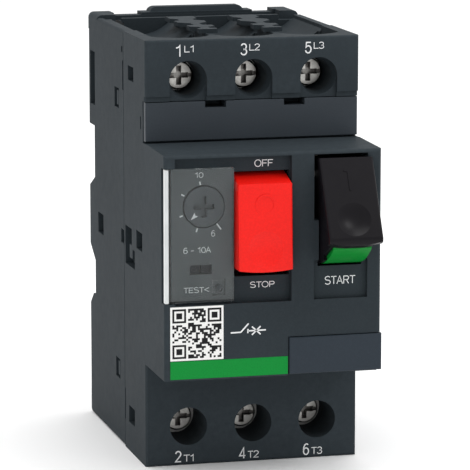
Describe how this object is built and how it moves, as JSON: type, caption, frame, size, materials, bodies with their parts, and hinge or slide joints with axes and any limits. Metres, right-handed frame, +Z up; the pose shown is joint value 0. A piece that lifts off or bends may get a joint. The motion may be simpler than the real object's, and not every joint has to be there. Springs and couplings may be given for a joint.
{
  "type": "motor protection circuit breaker",
  "caption": "Rail-mounted motor protection breaker with rocker start and stop buttons, a setting dial under a hinged clear cover, and screw clamp terminals above and below.",
  "frame": {"origin": "on the plane that the rail's lips rest against, on the housing's middle plane, level with the rail's centre line", "axes": "+X right as seen from the front, +Y back towards the rail, +Z up"},
  "size_m": [0.0451, 0.0812, 0.09],
  "materials": {
    "housing": "fine moulded grain",
    "base": "fine moulded grain",
    "strip": "fine moulded grain",
    "plate": "smooth",
    "panel": "smooth",
    "cover": "clear moulded plastic",
    "dial": "smooth",
    "red": "satin",
    "black": "satin",
    "green": "satin",
    "steel": "ground",
    "screw_steel": "zinc plated",
    "copper": "drawn copper",
    "silver": "silver alloy",
    "fibre": "vulcanised fibre",
    "inner_plastic": "moulded",
    "enamel": "enamelled copper wire",
    "clip": "moulded"
  },
  "bodies": {
    "case": {"front_housing": "housing", "rear_base": "base", "blanking_strip": "strip", "marker_plate": "plate", "setting_panel": "panel", "stop_pin": "steel", "stop_spring": "steel", "start_pin": "steel", "start_spring": "steel", "mechanism_frame": "steel", "latch_pin": "steel", "rail_clip_spring": "steel", "line_strips": "copper", "load_strips": "copper", "coil_strips": "copper", "fixed_contact_tips": "silver", "arc_chute_plates": "steel", "arc_chute_cheeks": "fibre", "bimetals": "steel", "heater_windings": "silver", "coil_bobbins": "inner_plastic", "coil_windings": "enamel", "magnet_yokes": "steel"},
    "cover": {"clear_cover": "cover"},
    "dial": {"setting_dial": "dial", "dial_cam": "inner_plastic"},
    "test": {"test_slider": "dial"},
    "stop": {"stop_button": "red"},
    "start": {"start_button": "black", "start_flank": "green"},
    "contacts": {"drive_rod": "inner_plastic", "contact_carrier": "inner_plastic", "contact_bridges": "copper", "contact_springs": "steel", "bridge_guides": "inner_plastic"},
    "latch": {"latch_lever": "steel"},
    "trip": {"trip_bar": "inner_plastic"},
    "clip": {"rail_clip": "clip"},
    "plunger_1": {"trip_plunger_1": "steel"},
    "line_clamp_body_1": {"line_clamp_1": "steel"},
    "line_screw_body_1": {"line_screw_1": "screw_steel"},
    "load_clamp_body_1": {"load_clamp_1": "steel"},
    "load_screw_body_1": {"load_screw_1": "screw_steel"},
    "plunger_2": {"trip_plunger_2": "steel"},
    "line_clamp_body_2": {"line_clamp_2": "steel"},
    "line_screw_body_2": {"line_screw_2": "screw_steel"},
    "load_clamp_body_2": {"load_clamp_2": "steel"},
    "load_screw_body_2": {"load_screw_2": "screw_steel"},
    "plunger_3": {"trip_plunger_3": "steel"},
    "line_clamp_body_3": {"line_clamp_3": "steel"},
    "line_screw_body_3": {"line_screw_3": "screw_steel"},
    "load_clamp_body_3": {"load_clamp_3": "steel"},
    "load_screw_body_3": {"load_screw_3": "screw_steel"}
  },
  "joints": [
    {"name": "start_press", "type": "hinge", "parent": "case", "child": "start", "pos_m": [0, -0.0612, 0.0153], "axis": [1, 0, 0], "range_deg": [0, 27.8]},
    {"name": "contacts_slide", "type": "slide", "parent": "case", "child": "contacts", "axis": [0, 1, 0], "range_m": [0, 0.00412]},
    {"name": "stop_press", "type": "hinge", "parent": "case", "child": "stop", "pos_m": [0, -0.0634, 0.0137], "axis": [1, 0, 0], "range_deg": [0, 8], "stiffness_Nm_per_rad": 0.005},
    {"name": "cover_hinge", "type": "hinge", "parent": "case", "child": "cover", "pos_m": [-0.0215, -0.0653, 0.0043], "axis": [0, 0, -1], "range_deg": [0, 110]},
    {"name": "dial_turn", "type": "hinge", "parent": "case", "child": "dial", "pos_m": [-0.0141, -0.0612, 0.0099], "axis": [0, 1, 0], "range_deg": [-124, 84]},
    {"name": "trip_turn", "type": "hinge", "parent": "case", "child": "trip", "pos_m": [0, -0.0232, -0.0097], "axis": [1, 0, 0], "range_deg": [0, 8], "stiffness_Nm_per_rad": 0.003},
    {"name": "test_slide", "type": "slide", "parent": "case", "child": "test", "axis": [-1, 0, 0], "range_m": [0, 0.002]},
    {"name": "latch_turn", "type": "hinge", "parent": "case", "child": "latch", "pos_m": [0, -0.0362, -0.0007], "axis": [1, 0, 0], "range_deg": [-7, 0]},
    {"name": "clip_slide", "type": "slide", "parent": "case", "child": "clip", "axis": [0, 0, -1], "range_m": [0, 0.003], "stiffness_N_per_m": 400, "springref_m": -0.002, "deforming": ["rail_clip_spring"]},
    {"name": "plunger_slide_1", "type": "slide", "parent": "case", "child": "plunger_1", "axis": [0, 0, 1], "range_m": [0, 0.0021]},
    {"name": "line_clamp_slide_1", "type": "slide", "parent": "case", "child": "line_clamp_body_1", "axis": [0, 1, 0], "range_m": [0, 0.0035]},
    {"name": "line_screw_turn_1", "type": "hinge", "parent": "line_clamp_body_1", "child": "line_screw_body_1", "pos_m": [-0.0135, -0.0372, 0.0335], "axis": [0, 1, 0], "range_deg": [0, 1801]},
    {"name": "load_clamp_slide_1", "type": "slide", "parent": "case", "child": "load_clamp_body_1", "axis": [0, 1, 0], "range_m": [0, 0.0035]},
    {"name": "load_screw_turn_1", "type": "hinge", "parent": "load_clamp_body_1", "child": "load_screw_body_1", "pos_m": [-0.0135, -0.0372, -0.0385], "axis": [0, 1, 0], "range_deg": [0, 1801]},
    {"name": "plunger_slide_2", "type": "slide", "parent": "case", "child": "plunger_2", "axis": [0, 0, 1], "range_m": [0, 0.0021]},
    {"name": "line_clamp_slide_2", "type": "slide", "parent": "case", "child": "line_clamp_body_2", "axis": [0, 1, 0], "range_m": [0, 0.0035]},
    {"name": "line_screw_turn_2", "type": "hinge", "parent": "line_clamp_body_2", "child": "line_screw_body_2", "pos_m": [0.00025, -0.0372, 0.0335], "axis": [0, 1, 0], "range_deg": [0, 1801]},
    {"name": "load_clamp_slide_2", "type": "slide", "parent": "case", "child": "load_clamp_body_2", "axis": [0, 1, 0], "range_m": [0, 0.0035]},
    {"name": "load_screw_turn_2", "type": "hinge", "parent": "load_clamp_body_2", "child": "load_screw_body_2", "pos_m": [0.00025, -0.0372, -0.0385], "axis": [0, 1, 0], "range_deg": [0, 1801]},
    {"name": "plunger_slide_3", "type": "slide", "parent": "case", "child": "plunger_3", "axis": [0, 0, 1], "range_m": [0, 0.0021]},
    {"name": "line_clamp_slide_3", "type": "slide", "parent": "case", "child": "line_clamp_body_3", "axis": [0, 1, 0], "range_m": [0, 0.0035]},
    {"name": "line_screw_turn_3", "type": "hinge", "parent": "line_clamp_body_3", "child": "line_screw_body_3", "pos_m": [0.014, -0.0372, 0.0335], "axis": [0, 1, 0], "range_deg": [0, 1801]},
    {"name": "load_clamp_slide_3", "type": "slide", "parent": "case", "child": "load_clamp_body_3", "axis": [0, 1, 0], "range_m": [0, 0.0035]},
    {"name": "load_screw_turn_3", "type": "hinge", "parent": "load_clamp_body_3", "child": "load_screw_body_3", "pos_m": [0.014, -0.0372, -0.0385], "axis": [0, 1, 0], "range_deg": [0, 1801]}
  ],
  "couplings": [
    {"joint": "start_press", "follows": "contacts_slide", "rad_per_m": 117.64},
    {"joint": "trip_turn", "follows": "test_slide", "rad_per_m": 69.8},
    {"joint": "latch_turn", "follows": "test_slide", "rad_per_m": -55.84},
    {"joint": "plunger_slide_1", "follows": "test_slide", "ratio": 1},
    {"joint": "line_screw_turn_1", "follows": "line_clamp_slide_1", "rad_per_m": 8975.9},
    {"joint": "load_screw_turn_1", "follows": "load_clamp_slide_1", "rad_per_m": 8975.9},
    {"joint": "plunger_slide_2", "follows": "test_slide", "ratio": 1},
    {"joint": "line_screw_turn_2", "follows": "line_clamp_slide_2", "rad_per_m": 8975.9},
    {"joint": "load_screw_turn_2", "follows": "load_clamp_slide_2", "rad_per_m": 8975.9},
    {"joint": "plunger_slide_3", "follows": "test_slide", "ratio": 1},
    {"joint": "line_screw_turn_3", "follows": "line_clamp_slide_3", "rad_per_m": 8975.9},
    {"joint": "load_screw_turn_3", "follows": "load_clamp_slide_3", "rad_per_m": 8975.9}
  ]
}
